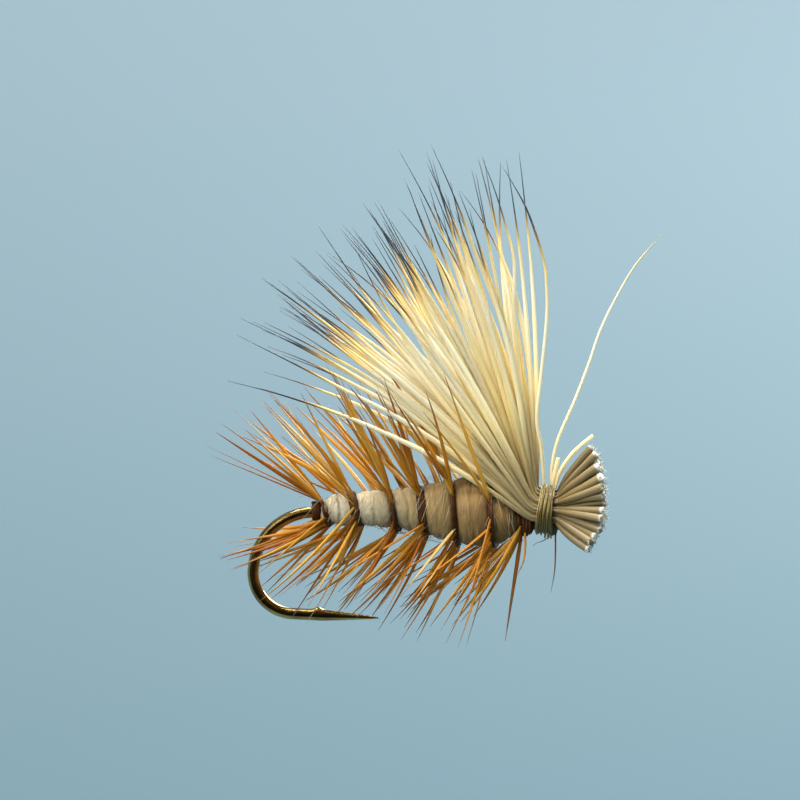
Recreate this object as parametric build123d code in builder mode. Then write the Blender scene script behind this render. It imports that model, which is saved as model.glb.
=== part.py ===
# A caddis dry fly, tied on a ring-eye hook: dubbed body, palmered hackle, hair wing with a trimmed head.
# Millimetres. The shank lies along X with the eye in front, +Z is up, and the origin is the eye's centre.
from build123d import *
from math import atan, cos, hypot, pi, radians, sin
import os
import random

os.makedirs("parts", exist_ok=True)

# Hook
wire_radius = 0.23
eye_wire_radius = 0.19
eye_ring_radius = 0.56
eye_bore_radius = 0.39
shank_end = -10.42
upper_bend_radius = 2.45
lower_bend_radius = 1.65
point_taper_start = -10.0
point_tip = -7.71
point_tip_radius = 0.03
barb_place = -10.2
barb_length = 0.55
barb_height = 0.07

# Thread
thread_radius = 0.042
thread_base_radius = 0.29
thread_base_front = -1.02
thread_base_rear = shank_end + 0.07
whip_front = -0.77
whip_rear = -1.0
whip_radius = 0.36
collar_front = -1.02
collar_rear = -1.70
collar_axis_height = 0.55
collar_inner_radius = 0.89
collar_wraps = 8

# Body: distance from the eye, radius, and height of the section's centre above the shank
body_sections = [
    (-10.30, 0.36, 0.05),
    (-9.76, 0.50, 0.15),
    (-8.17, 0.61, 0.27),
    (-6.77, 0.76, 0.32),
    (-5.79, 0.98, 0.34),
    (-4.60, 1.27, 0.34),
    (-3.75, 1.23, 0.29),
    (-3.10, 0.88, 0.12),
    (-2.50, 0.38, 0.02),
]
clearance = 0.015

# Hackle: where each turn of the stem crosses the top and the bottom of the body
turn_tops = [-10.28, -9.15, -7.63, -6.50, -5.20, -3.72, -2.40]
turn_bottoms = [-9.98, -8.85, -7.33, -6.10, -4.88, -3.42, -2.22]
stem_radius = 0.09
stem_steps = 24
barb_root_radius = 0.055
barb_tip_radius = 0.018
barb_lengths = (4.0, 5.1)
barbs_per_turn = 21
front_turn_barbs = 12
barb_lean_rear = 50
barb_lean_front = 32
barb_lean_spread = 13
barb_sideways = 0.22
barb_droop = 12
barb_place_spread = (0.35, 0.65)
first_turn_under_wing = 4
wing_cover_angle = 48

# Hair
hair_pitch = 0.142
hair_tied_radius = 0.062
hair_radius = 0.115
hair_tip_radius = 0.022
hair_shank_gap = 0.47
hair_lowest = 0.12
wing_length = 13.4
wing_length_spread = 0.6
wing_bend_start = -1.64
wing_bend_height = 1.62
wing_lowest_angle = 37
wing_highest_angle = 87
wing_side_slope = 0.33
wing_bend_shares = (0, 0.4, 0.75, 1)
wing_part_shares = (0.12, 0.2, 0.3, 0.38)
wing_least_fall = 8
wing_extra_fall = 60
wing_straightest_level = 0.55
butt_length = 2.15
butt_length_spread = 0.15
butt_radius = 0.125
butt_slope = 1.3
butt_level_middle = 0.46
butt_level_side = 0.74
butt_side_from = 0.25
butt_side_over = 0.4
butt_low_over = 0.5
butt_side_push = 0.5
butt_least_straight = 0.06
butt_extra_straight = 0.42
side_band = 0.36
bottom_band_top = 0.72
middle_band_top = 1.05

random.seed(14)


def planes_across(points):
    """A plane across the path at each point, none of them twisted against the one before."""
    planes = []
    across = None
    for index, point in enumerate(points):
        before = points[max(index - 1, 0)]
        after = points[min(index + 1, len(points) - 1)]
        along = (after - before).normalized()
        if across is None:
            across = along.cross(Vector(0, 0, 1) if abs(along.Z) < 0.9 else Vector(1, 0, 0))
        across = (across - along * across.dot(along)).normalized()
        planes.append(Plane(origin=point, x_dir=across, z_dir=along))
    return planes


def strand(points, radii):
    """A round strand that follows the points, with its own radius at each."""
    with BuildPart() as piece:
        for plane, radius in zip(planes_across(points), radii):
            with BuildSketch(plane):
                Circle(radius)
        loft(ruled=True)
    return piece.part


def blend(stops, place):
    """The value at a place, along straight lines between (place, value) stops."""
    for (start, low), (end, high) in zip(stops, stops[1:]):
        if place <= end:
            return low + (high - low) * (place - start) / (end - start)
    return stops[-1][1]


def body_radius(x):
    return blend([(place, radius) for place, radius, _ in body_sections], x)


def body_height(x):
    return blend([(place, height) for place, _, height in body_sections], x)


def body_slope(x, half_step=0.05):
    return (body_radius(x + half_step) - body_radius(x - half_step)) / (2 * half_step)


def save(part, name):
    part.label = name
    export_step(part, f"parts/{name}.step")


# The hook is one bent wire: ring eye, straight shank, round bend and a needle point with a flattened barb.
bend_bottom = -upper_bend_radius - lower_bend_radius
spear_start = shank_end - upper_bend_radius + lower_bend_radius

with BuildPart() as hook:
    with BuildLine(Plane.XZ):
        shank = Line((-eye_ring_radius, 0), (shank_end, 0))
        upper = TangentArc(shank @ 1, (shank_end - upper_bend_radius, -upper_bend_radius), tangent=shank % 1)
        lower = TangentArc(upper @ 1, (spear_start, bend_bottom), tangent=upper % 1)
        Line(lower @ 1, (point_taper_start, bend_bottom))
    with BuildSketch(Plane(origin=(-eye_ring_radius, 0, 0), z_dir=(-1, 0, 0))):
        Circle(wire_radius)
    sweep()
    with BuildSketch(Plane(origin=(point_taper_start, 0, bend_bottom), z_dir=(1, 0, 0))):
        Circle(wire_radius)
    with BuildSketch(Plane(origin=(point_tip, 0, bend_bottom), z_dir=(1, 0, 0))):
        Circle(point_tip_radius)
    loft()
    with BuildSketch(Plane.XZ):
        with BuildLine():
            Spline(
                (barb_place - barb_length / 2, bend_bottom),
                (barb_place - barb_length / 5, bend_bottom + wire_radius + barb_height),
                (barb_place + barb_length / 2, bend_bottom),
            )
            Line((barb_place + barb_length / 2, bend_bottom), (barb_place - barb_length / 2, bend_bottom))
        make_face()
    extrude(amount=wire_radius / 3, both=True)
    with Locations((0, 0, 0)):
        Torus(eye_ring_radius, eye_wire_radius)
        Cylinder(eye_bore_radius, 4 * eye_wire_radius, mode=Mode.SUBTRACT)
save(hook.part, "hook")

# Thread wound along the shank under everything else
with BuildPart() as thread_base:
    with BuildSketch(Plane(origin=(thread_base_rear, 0, 0), z_dir=(1, 0, 0))):
        Circle(thread_base_radius)
        Circle(wire_radius + clearance / 3, mode=Mode.SUBTRACT)
    extrude(amount=thread_base_front - thread_base_rear)
save(thread_base.part, "thread_base")

# Knotted thread behind the eye
with BuildPart() as whip_finish:
    with BuildSketch(Plane(origin=(whip_rear, 0, 0), z_dir=(1, 0, 0))):
        Circle(whip_radius)
        Circle(wire_radius + clearance / 3, mode=Mode.SUBTRACT)
    extrude(amount=whip_front - whip_rear)
    chamfer(whip_finish.edges().filter_by(GeomType.CIRCLE).group_by(SortBy.RADIUS)[-1], 2 * thread_radius / 3)
save(whip_finish.part, "whip_finish")

# Dubbed body: fur twisted round thread and wound on, fat in front of the middle, and hollow along the shank
with BuildPart() as dubbed_body:
    for place, radius, height in body_sections:
        with BuildSketch(Plane(origin=(place, 0, height), x_dir=(0, 1, 0), z_dir=(1, 0, 0))):
            Circle(radius)
    loft()
    with BuildSketch(Plane(origin=(body_sections[0][0] - 1, 0, 0), z_dir=(1, 0, 0))):
        Circle(thread_base_radius + clearance)
    extrude(amount=body_sections[-1][0] - body_sections[0][0] + 2, mode=Mode.SUBTRACT)
save(dubbed_body.part, "dubbed_body")

# Thread collar round the hair and the shank, one rounded rib for each wrap
wrap_width = (collar_front - collar_rear) / collar_wraps

with BuildPart() as thread_collar:
    with BuildSketch(Plane.XZ):
        with BuildLine():
            inner = collar_axis_height + collar_inner_radius
            Line((collar_rear, inner + thread_radius), (collar_rear, inner))
            Line((collar_rear, inner), (collar_front, inner))
            Line((collar_front, inner), (collar_front, inner + thread_radius))
            for wrap in range(collar_wraps):
                start = collar_front - wrap * wrap_width
                ThreePointArc(
                    (start, inner + thread_radius),
                    (start - wrap_width / 2, inner + 2 * thread_radius),
                    (start - wrap_width, inner + thread_radius),
                )
        make_face()
    revolve(axis=Axis((0, 0, collar_axis_height), (1, 0, 0)))
save(thread_collar.part, "thread_collar")

# Hackle stem: bare quill wound in open turns over the body. Turns lean forward down the near side.
turn_stops = []
for turn, (top, bottom) in enumerate(zip(turn_tops, turn_bottoms)):
    turn_stops += [(turn, top), (turn + 0.5, bottom)]


def stem_point(turn):
    """Where the stem's centre line is after so many turns, counted from the top of the body."""
    x = blend(turn_stops, turn)
    out = body_radius(x) + (stem_radius + clearance) / cos(atan(body_slope(x))) + clearance
    return Vector(x, -out * sin(2 * pi * turn), body_height(x) + out * cos(2 * pi * turn))


stem_turns = [step / stem_steps for step in range(int(turn_stops[-1][0] * stem_steps) + 1)]
hackle_stem = strand([stem_point(turn) for turn in stem_turns], [stem_radius] * len(stem_turns))
save(hackle_stem, "hackle_stem")


def barb(turn, lean, length):
    """One barb of the hackle: it stands off the stem and leans towards the bend."""
    root = stem_point(turn)
    axis_point = Vector(root.X, 0, body_height(root.X))
    out = (root - axis_point).normalized()
    sideways = Vector(1, 0, 0).cross(out) * random.uniform(-barb_sideways, barb_sideways)
    points = [root + out * (stem_radius + clearance)]
    radii = [barb_root_radius, (barb_root_radius + barb_tip_radius) * 0.6, barb_tip_radius]
    for angle in (radians(lean), radians(lean + barb_droop)):
        step = out * cos(angle) + sideways - Vector(sin(angle), 0, 0)
        points.append(points[-1] + step.normalized() * length / 2)
    return strand(points, radii)


def turn_of_barbs(turn, count):
    """The barbs along one turn of the stem."""
    share = turn / (len(turn_tops) - 1)
    lean = barb_lean_rear + (barb_lean_front - barb_lean_rear) * share
    span = 1 if turn < len(turn_tops) - 1 else 0.5
    barbs = []
    for index in range(count):
        place = turn + span * (index + random.uniform(*barb_place_spread)) / count
        under_wing = turn >= first_turn_under_wing and cos(2 * pi * place) > cos(radians(wing_cover_angle))
        if not under_wing:
            own_lean = lean + random.uniform(-barb_lean_spread, barb_lean_spread)
            barbs.append(barb(place, own_lean, random.uniform(*barb_lengths)))
    return barbs


for turn in range(len(turn_tops)):
    last = turn == len(turn_tops) - 1
    barbs = turn_of_barbs(turn, front_turn_barbs if last else barbs_per_turn)
    with BuildPart() as hackle_barbs:
        add(barbs)
    save(hackle_barbs.part, f"hackle_barbs_turn_{turn + 1}")

# Two barbs that escaped under the head
short_barb = strand(
    [Vector(-2.05, -0.2, -0.44), Vector(-2.1, -0.3, -1.2), Vector(-2.3, -0.35, -2.0)],
    [barb_root_radius, barb_root_radius, barb_tip_radius],
)
hanging_barb = strand(
    [Vector(-0.88, -0.1, -0.42), Vector(-0.85, -0.15, -1.4), Vector(-0.93, -0.2, -2.6)],
    [barb_root_radius * 0.8, barb_root_radius * 0.7, barb_tip_radius],
)
with BuildPart() as stray_barbs:
    add([short_barb, hanging_barb])
save(stray_barbs.part, "stray_barbs")

# End of the tying thread, cut off under the head
thread_tag = strand(
    [Vector(-1.2, -0.3, -0.52), Vector(-1.4, -0.35, -0.7), Vector(-1.75, -0.4, -0.86)],
    [thread_radius * 0.7, thread_radius * 0.6, thread_radius * 0.4],
)
save(thread_tag, "thread_tag")


# Hair: each one runs whole from its cut butt, under the collar, to its tip in the wing.
def bundle_places():
    """Places of the hairs across the collar, packed in rows, round the shank and inside the thread."""
    limit = collar_inner_radius - hair_tied_radius - clearance
    row_height = hair_pitch * cos(pi / 6)
    places = []
    for row in range(-7, 8):
        for column in range(-7, 8):
            y = (column + 0.5 * (row % 2)) * hair_pitch
            z = row * row_height + collar_axis_height
            if hypot(y, z - collar_axis_height) < limit and hypot(y, z) > hair_shank_gap and z > hair_lowest:
                places.append((y, z))
    return places


def wing_path(y, z, length):
    """From the collar's rear edge: an arc up about a line above the collar, then a long slight curve back."""
    level = (z - hair_lowest) / (collar_axis_height + collar_inner_radius - hair_lowest)
    rise = wing_lowest_angle + (wing_highest_angle - wing_lowest_angle) * level
    fall = wing_least_fall + wing_extra_fall * (level - wing_straightest_level) ** 2
    side = wing_side_slope * y / collar_inner_radius
    bend_radius = wing_bend_height - z
    points = []
    for share in wing_bend_shares:
        angle = radians(rise * share)
        back = bend_radius * sin(angle)
        up = bend_radius * (1 - cos(angle))
        points.append(Vector(wing_bend_start - back, y + side * hypot(back, up) / 2, z + up))
    rest = length
    for share in wing_part_shares:
        angle = radians(rise - fall * (1 - (rest - length * share / 2) / length))
        step = length * share
        points.append(points[-1] + Vector(-cos(angle) * step, side * step, sin(angle) * step))
        rest -= step
    return points


def butt_path(y, z, length):
    """From the collar's front edge: the butt flares out all round and stays clear of the eye."""
    outer = max(0, min(1, (abs(y) - butt_side_from) / butt_side_over))
    level = butt_level_middle + (butt_level_side - butt_level_middle) * outer
    low = max(0, min(1, (butt_level_side - z) / butt_low_over))
    rise = butt_slope * (z - level)
    side = butt_slope * y + butt_side_push * outer * low * (1 if y > 0 else -1)
    direction = Vector(1, side, rise).normalized()
    start = Vector(collar_front + clearance, y, z)
    middle = 1 - hypot(y, z - butt_level_side) / collar_inner_radius
    straight = butt_least_straight + butt_extra_straight * max(0, middle)
    near = start + Vector(straight, 0, 0)
    return [start, near, near + direction * length * 0.35, near + direction * (length - straight)]


def hair(y, z):
    wing = wing_path(y, z, wing_length + random.uniform(-wing_length_spread, wing_length_spread))
    butt = butt_path(y, z, butt_length + random.uniform(-butt_length_spread, butt_length_spread))
    tied = hair_tied_radius
    butt_radii = [butt_radius, 0.72 * butt_radius, tied, tied]
    bend_radii = [tied, tied, tied, tied]
    tip_radii = [hair_radius * 0.8, hair_radius, hair_radius * 0.8, hair_tip_radius]
    return strand(butt[::-1] + wing, butt_radii + bend_radii + tip_radii)


places = bundle_places()
wing_groups = {
    "wing_hair_near_side": [(y, z) for y, z in places if y < -side_band],
    "wing_hair_far_side": [(y, z) for y, z in places if y > side_band],
    "wing_hair_bottom": [(y, z) for y, z in places if abs(y) <= side_band and z < bottom_band_top],
    "wing_hair_middle": [
        (y, z) for y, z in places if abs(y) <= side_band and bottom_band_top <= z < middle_band_top
    ],
    "wing_hair_top": [(y, z) for y, z in places if abs(y) <= side_band and z >= middle_band_top],
}
for name, group in wing_groups.items():
    hairs = [hair(y, z) for y, z in group]
    with BuildPart() as wing_hair:
        add(hairs)
    save(wing_hair.part, name)
    print(name, len(group))

# Two long hairs that stand away from the wing, caught by the top of the collar
collar_top = collar_axis_height + collar_inner_radius + 2 * thread_radius + clearance
forward_hair = strand(
    [
        Vector(-1.12, 0.15, collar_top + 0.05),
        Vector(-1.12, 0.18, 2.9),
        Vector(-0.35, 0.3, 5.0),
        Vector(0.5, 0.4, 7.8),
        Vector(1.65, 0.5, 10.3),
        Vector(2.79, 0.6, 11.75),
    ],
    [0.06, 0.085, 0.085, 0.08, 0.06, hair_tip_radius],
)
save(forward_hair, "forward_stray_hair")

wavy_hair = strand(
    [
        Vector(-1.42, -0.15, collar_top + 0.05),
        Vector(-1.62, -0.7, 3.0),
        Vector(-1.88, -1.1, 4.2),
        Vector(-1.80, -1.3, 5.9),
        Vector(-1.72, -1.5, 8.9),
        Vector(-1.90, -1.6, 10.4),
        Vector(-2.60, -1.7, 12.2),
        Vector(-3.77, -1.8, 14.0),
    ],
    [0.06, 0.085, 0.085, 0.085, 0.08, 0.07, 0.05, hair_tip_radius],
)
save(wavy_hair, "wavy_stray_hair")

# Two thin cut ends that stand up between the wing and the head
long_stub = strand(
    [Vector(-0.98, -0.2, 1.62), Vector(-0.72, -0.3, 2.4), Vector(-0.15, -0.35, 3.1), Vector(0.5, -0.4, 3.6)],
    [0.05, 0.075, 0.075, 0.075],
)
short_stub = strand(
    [Vector(-1.1, -0.1, collar_top + 0.05), Vector(-1.02, -0.15, 2.0), Vector(-0.94, -0.2, 2.62)],
    [0.05, 0.08, 0.08],
)
with BuildPart() as hair_stubs:
    add([long_stub, short_stub])
save(hair_stubs.part, "hair_stubs")
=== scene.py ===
import math

import bpy
import numpy as np
from mathutils import Matrix, Vector, noise


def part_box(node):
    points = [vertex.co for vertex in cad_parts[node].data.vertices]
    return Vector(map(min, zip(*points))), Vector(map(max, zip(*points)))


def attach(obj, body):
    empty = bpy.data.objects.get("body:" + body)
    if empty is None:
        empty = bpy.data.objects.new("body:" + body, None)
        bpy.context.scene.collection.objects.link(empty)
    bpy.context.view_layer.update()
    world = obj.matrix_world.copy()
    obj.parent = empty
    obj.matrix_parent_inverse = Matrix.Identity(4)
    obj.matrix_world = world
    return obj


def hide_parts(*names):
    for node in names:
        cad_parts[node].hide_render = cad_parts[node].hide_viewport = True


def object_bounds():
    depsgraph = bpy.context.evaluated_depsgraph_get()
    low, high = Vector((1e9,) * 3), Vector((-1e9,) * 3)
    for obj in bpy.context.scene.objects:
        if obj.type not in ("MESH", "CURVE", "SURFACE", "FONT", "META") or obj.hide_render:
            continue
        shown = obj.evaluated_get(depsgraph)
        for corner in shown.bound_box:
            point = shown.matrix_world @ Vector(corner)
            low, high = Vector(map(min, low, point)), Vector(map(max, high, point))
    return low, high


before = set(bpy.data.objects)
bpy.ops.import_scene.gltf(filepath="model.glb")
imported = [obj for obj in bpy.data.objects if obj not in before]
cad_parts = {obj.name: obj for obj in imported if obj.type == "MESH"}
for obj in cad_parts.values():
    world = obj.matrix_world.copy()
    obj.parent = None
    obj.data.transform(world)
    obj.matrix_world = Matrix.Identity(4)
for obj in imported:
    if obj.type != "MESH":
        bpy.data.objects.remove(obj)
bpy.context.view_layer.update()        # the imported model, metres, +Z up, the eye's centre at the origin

mm = 0.001               # everything below is worked out in millimetres
dice = np.random.default_rng(20)


def nodeBox(name):       # a node's corners in millimetres
    low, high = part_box(name)
    return np.array(low) / mm, np.array(high) / mm


collarLow, collarHigh = nodeBox("thread_collar")
collarRear, collarFront = collarLow[0], collarHigh[0]
collarHeight = (collarLow[2] + collarHigh[2]) / 2
collarRadius = (collarHigh[2] - collarLow[2]) / 2


class Socket:            # one output; sums and products of it add Math nodes
    def __init__(self, finish, socket):
        self.finish, self.socket = finish, socket

    def math(self, operation, first, second=0.0):
        return self.finish.node("ShaderNodeMath", {"operation": operation}, {0: first, 1: second})

    def __add__(self, other):
        return self.math("ADD", self, other)

    def __radd__(self, other):
        return self.math("ADD", other, self)

    def __sub__(self, other):
        return self.math("SUBTRACT", self, other)

    def __rsub__(self, other):
        return self.math("SUBTRACT", other, self)

    def __mul__(self, other):
        return self.math("MULTIPLY", self, other)

    def __rmul__(self, other):
        return self.math("MULTIPLY", other, self)


class Finish:            # a material and the nodes that make it
    def __init__(self, name):
        self.material = bpy.data.materials.new(name)
        self.material.use_nodes = True
        self.tree = self.material.node_tree
        self.tree.nodes.clear()

    def node(self, kind, settings=None, sockets=None, out=0):
        made = self.tree.nodes.new(kind)
        for key, value in (settings or {}).items():
            if key == "stops":
                ramp = made.color_ramp
                while len(ramp.elements) < len(value):
                    ramp.elements.new(0.5)
                for element, (place, colour) in zip(ramp.elements, value):
                    element.position, element.color = place, (*colour, 1)
            else:
                setattr(made, key, value)
        for key, value in (sockets or {}).items():
            if isinstance(value, Socket):
                self.tree.links.new(value.socket, made.inputs[key])
            else:
                made.inputs[key].default_value = value
        return Socket(self, made.outputs[out]) if made.outputs else None

    def attribute(self, name, out="Fac"):
        return self.node("ShaderNodeAttribute", {"attribute_name": name}, out=out)

    def place(self):
        return self.node("ShaderNodeTexCoord", out="Object")

    def stretch(self, vector, scale):
        settings = {"operation": "MULTIPLY"}
        return self.node("ShaderNodeVectorMath", settings, {0: vector, 1: scale})

    def speckle(self, vector, scale, detail=3.0, rough=0.55):
        sockets = {"Vector": vector, "Scale": scale, "Detail": detail, "Roughness": rough}
        return self.node("ShaderNodeTexNoise", {}, sockets, out="Fac")

    def ramp(self, factor, stops):
        return self.node("ShaderNodeValToRGB", {"stops": stops}, {"Fac": factor}, out="Color")

    def mix(self, factor, first, second, blend="MIX"):
        settings = {"data_type": "RGBA", "blend_type": blend}
        return self.node("ShaderNodeMix", settings, {0: factor, 6: first, 7: second}, out=2)

    def bump(self, height, strength, distance):
        sockets = {"Height": height, "Strength": strength, "Distance": distance}
        return self.node("ShaderNodeBump", {}, sockets, out="Normal")

    def surface(self, shader):
        self.node("ShaderNodeOutputMaterial", {}, {"Surface": shader})
        return self.material


def grey(value):
    return (value, value, value)


def bronzeWire():        # polished wire under a thin brown lacquer
    look = dict(dark=(0.17, 0.105, 0.022), light=(0.62, 0.44, 0.15), cloudSize=900.0, roughness=0.10)
    f = Finish("bronzeWire")
    cloud = f.speckle(f.place(), look["cloudSize"], 4.0)
    drawn = f.speckle(f.stretch(f.attribute("grain", "Vector"), (5.0, 5.0, 0.5)), 9.0, 2.0)
    patches = f.ramp(cloud, [(0.35, grey(0)), (0.7, grey(1))])
    colour = f.mix(patches, (*look["dark"], 1), (*look["light"], 1))
    shader = f.node("ShaderNodeBsdfPrincipled", {}, {
        "Base Color": colour, "Metallic": 1.0, "Roughness": drawn * 0.12 + look["roughness"],
        "Coat Weight": 0.35, "Coat Roughness": 0.06,
        "Normal": f.bump(drawn, 0.12, 0.00002),
    }, out="BSDF")
    return f.surface(shader)


def tyingThread():       # waxed multifilament thread, olive with bright filaments
    look = dict(shade=(0.040, 0.022, 0.002), main=(0.155, 0.104, 0.020), bright=(0.38, 0.300, 0.11),
                cloudSize=1300.0, roughness=0.22)
    f = Finish("tyingThread")
    grain = f.attribute("grain", "Vector")
    filament = f.speckle(f.stretch(grain, (9.0, 9.0, 0.7)), 1.0, 3.0, 0.6)
    cloud = f.speckle(f.place(), look["cloudSize"], 2.0)
    colour = f.ramp(filament * 0.75 + cloud * 0.35 + (f.attribute("tint") - 0.5) * 0.2, [
        (0.30, look["shade"]), (0.52, look["main"]), (0.74, look["bright"])])
    shader = f.node("ShaderNodeBsdfPrincipled", {}, {
        "Base Color": colour, "Roughness": filament * 0.25 + look["roughness"], "Specular IOR Level": 0.6,
        "Normal": f.bump(filament, 0.5, 0.00002),
    }, out="BSDF")
    return f.surface(shader)


def furDubbing():        # twisted fur: cream at the rear of the body, tan at the front, with painted shade in the grooves and creases
    look = dict(rear=(0.43, 0.380, 0.265), middle=(0.25, 0.166, 0.066), front=(0.175, 0.096, 0.027),
                hollow=(0.11, 0.05, 0.012), feltDark=(0.40, 0.36, 0.31), feltLight=(0.85, 0.84, 0.82),
                cloudSize=700.0)
    f = Finish("furDubbing")
    grain = f.attribute("grain", "Vector")
    hairs = f.speckle(f.stretch(grain, (1.0, 1.0, 16.0)), 2.2, 5.0, 0.62)
    cloud = f.speckle(f.place(), look["cloudSize"], 3.0)
    front = f.ramp(f.attribute("along") + (cloud - 0.5) * 0.25, [
        (0.12, look["rear"]), (0.52, look["middle"]), (0.86, look["front"])])
    lines = f.ramp(hairs, [(0.3, grey(0.33)), (0.5, grey(0.6)), (0.7, grey(0.95))])
    streaked = f.mix(0.5, front, lines, "OVERLAY")
    # painted shade: the fur is darkened in the grooves beside the quill and the creases between laps, and
    # left light on the puff tops
    hollow = f.ramp(f.attribute("hollow"), [(0.0, grey(0.85)), (0.6, grey(0))])
    felt = f.ramp(cloud, [(0.36, look["feltDark"]), (0.62, look["feltLight"])])
    felted = f.mix(0.35, streaked, felt, "OVERLAY")
    colour = f.mix(hollow, felted, (*look["hollow"], 1))
    shader = f.node("ShaderNodeBsdfPrincipled", {}, {
        "Base Color": colour, "Roughness": 0.72, "Sheen Weight": 0.12, "Specular IOR Level": 0.2,
        "Normal": f.bump(hairs, 0.7, 0.00004),
    }, out="BSDF")
    return f.surface(shader)


def looseFur():          # single fibres standing off the body
    look = dict(dark=(0.19, 0.12, 0.05), middle=(0.37, 0.28, 0.155), light=(0.60, 0.54, 0.40))
    f = Finish("looseFur")
    colour = f.ramp(f.attribute("tint"), [(0.0, look["dark"]), (0.4, look["middle"]), (1.0, look["light"])])
    shader = f.node("ShaderNodeBsdfPrincipled", {}, {
        "Base Color": colour, "Roughness": 0.6, "Specular IOR Level": 0.25}, out="BSDF")
    return f.surface(shader)


def hackleQuill():       # the stem: nearly black brown, waxy
    look = dict(dark=(0.020, 0.007, 0.002), main=(0.075, 0.024, 0.006), edge=(0.27, 0.10, 0.02))
    f = Finish("hackleQuill")
    streak = f.speckle(f.stretch(f.attribute("grain", "Vector"), (6.0, 6.0, 1.5)), 1.0, 4.0)
    colour = f.ramp(streak, [(0.3, look["dark"]), (0.6, look["main"]), (0.8, look["edge"])])
    shader = f.node("ShaderNodeBsdfPrincipled", {}, {
        "Base Color": colour, "Roughness": streak * 0.2 + 0.5, "Specular IOR Level": 0.15,
        "Normal": f.bump(streak, 0.4, 0.00002),
    }, out="BSDF")
    return f.surface(shader)


def hackleBarb():        # translucent ginger barbs with dusky tips
    look = dict(tip=(0.17, 0.085, 0.06), glow=(0.80, 0.48, 0.08), through=0.36)
    f = Finish("hackleBarb")
    along, tint = f.attribute("along"), f.attribute("tint")
    streak = f.speckle(f.stretch(f.attribute("grain", "Vector"), (4.0, 4.0, 1.2)), 1.0, 3.0)
    body = f.ramp(tint + (streak - 0.5) * 0.4, [     # from the darkest barbs to the palest
        (0.0, (0.12, 0.032, 0.003)), (0.25, (0.33, 0.095, 0.006)), (0.5, (0.56, 0.240, 0.014)),
        (0.75, (0.70, 0.41, 0.06)), (1.0, (0.64, 0.49, 0.19))])
    colour = f.mix(f.ramp(along, [(0.62, grey(0)), (0.95, grey(0.95))]), body, (*look["tip"], 1))
    solid = f.node("ShaderNodeBsdfPrincipled", {}, {
        "Base Color": colour, "Roughness": streak * 0.2 + 0.34, "Specular IOR Level": 0.28,
    }, out="BSDF")
    glow = f.node("ShaderNodeBsdfTranslucent", {}, {"Color": (*look["glow"], 1)}, out="BSDF")
    through = f.ramp(along, [(0.5, grey(look["through"])), (0.95, grey(0.1))])
    return f.surface(f.node("ShaderNodeMixShader", {}, {0: through, 1: solid, 2: glow}))


def wingHairFinish():    # hollow hair: white cut ends, olive at the tie darkened by painted shade, cream, gold, slate tips
    look = dict(glow=(1.0, 0.93, 0.70), through=0.30)
    f = Finish("wingHair")
    along, tint = f.attribute("along"), f.attribute("tint")
    shade = f.speckle(f.stretch(f.attribute("grain", "Vector"), (3.0, 3.0, 0.35)), 1.0, 4.0, 0.6)
    place = along * 0.5 + 0.5 + (tint - 0.5) * 0.05
    colour = f.ramp(place, [     # from the cut end, past the collar at 0.5, to the tip
        # painted shade: the stops from 0.30 to 0.53 darken the hair into the collar from both sides
        (0.00, (0.72, 0.76, 0.76)), (0.022, (0.215, 0.162, 0.080)), (0.30, (0.150, 0.105, 0.042)),
        (0.46, (0.08, 0.052, 0.016)), (0.53, (0.28, 0.205, 0.092)), (0.60, (0.57, 0.435, 0.220)),
        (0.67, (0.95, 0.800, 0.430)), (0.76, (0.86, 0.780, 0.550)), (0.82, (0.80, 0.750, 0.58)),
        (0.880, (0.80, 0.58, 0.22)), (0.912, (0.24, 0.135, 0.05)),
        (0.934, (0.030, 0.036, 0.042)), (1.0, (0.065, 0.088, 0.110))])
    warmth = f.ramp(tint, [      # some hairs are a little darker and yellower than the rest
        (0.0, (0.72, 0.63, 0.40)), (0.25, (0.93, 0.85, 0.62)), (0.5, (1.0, 0.98, 0.94)),
        (1.0, (1.0, 1.0, 1.0))])
    toned = f.mix(1.0, colour, warmth, "MULTIPLY")
    lines = f.ramp(shade, [(0.3, grey(0.32)), (0.7, grey(0.85))])
    streaked = f.mix(0.3, toned, lines, "OVERLAY")
    solid = f.node("ShaderNodeBsdfPrincipled", {}, {
        "Base Color": streaked, "Roughness": shade * 0.25 + 0.3, "Specular IOR Level": 0.35,
        "Normal": f.bump(shade, 0.35, 0.00002),
    }, out="BSDF")
    glow = f.node("ShaderNodeBsdfTranslucent", {}, {"Color": (*look["glow"], 1)}, out="BSDF")
    through = f.ramp(place, [
        (0.46, grey(0.05)), (0.60, grey(look["through"])), (0.84, grey(look["through"])),
        (0.90, grey(0.0))])
    return f.surface(f.node("ShaderNodeMixShader", {}, {0: through, 1: solid, 2: glow}))


def paleBackdrop():      # matt blue-grey, darker towards the floor
    look = dict(low=(0.056, 0.097, 0.117), high=(0.166, 0.225, 0.258), perMetre=7.0, middle=0.45)
    f = Finish("paleBackdrop")
    height = f.node("ShaderNodeSeparateXYZ", {}, {0: f.place()}, out="Z")
    rise = height * look["perMetre"] + look["middle"]
    colour = f.ramp(rise, [(0.0, look["low"]), (1.0, look["high"])])
    shader = f.node("ShaderNodeBsdfPrincipled", {}, {
        "Base Color": colour, "Roughness": 1.0, "Specular IOR Level": 0.0}, out="BSDF")
    return f.surface(shader)


def makePiece(name, points, faces, material, values, node=None):
    mesh = bpy.data.meshes.new(name)
    mesh.from_pydata((np.asarray(points) * mm).tolist(), [], faces)
    mesh.polygons.foreach_set("use_smooth", [True] * len(mesh.polygons))
    for key, data in values.items():
        data = np.asarray(data, np.float32)
        if data.ndim == 2:
            mesh.attributes.new(key, "FLOAT_VECTOR", "POINT").data.foreach_set("vector", data.ravel())
        else:
            mesh.attributes.new(key, "FLOAT", "POINT").data.foreach_set("value", data)
    mesh.materials.append(material)
    piece = bpy.data.objects.new(name, mesh)
    bpy.context.scene.collection.objects.link(piece)
    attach(piece, "root")
    if node:
        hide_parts(*([node] if isinstance(node, str) else node))
    print("made", name, len(faces), "faces")


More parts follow.
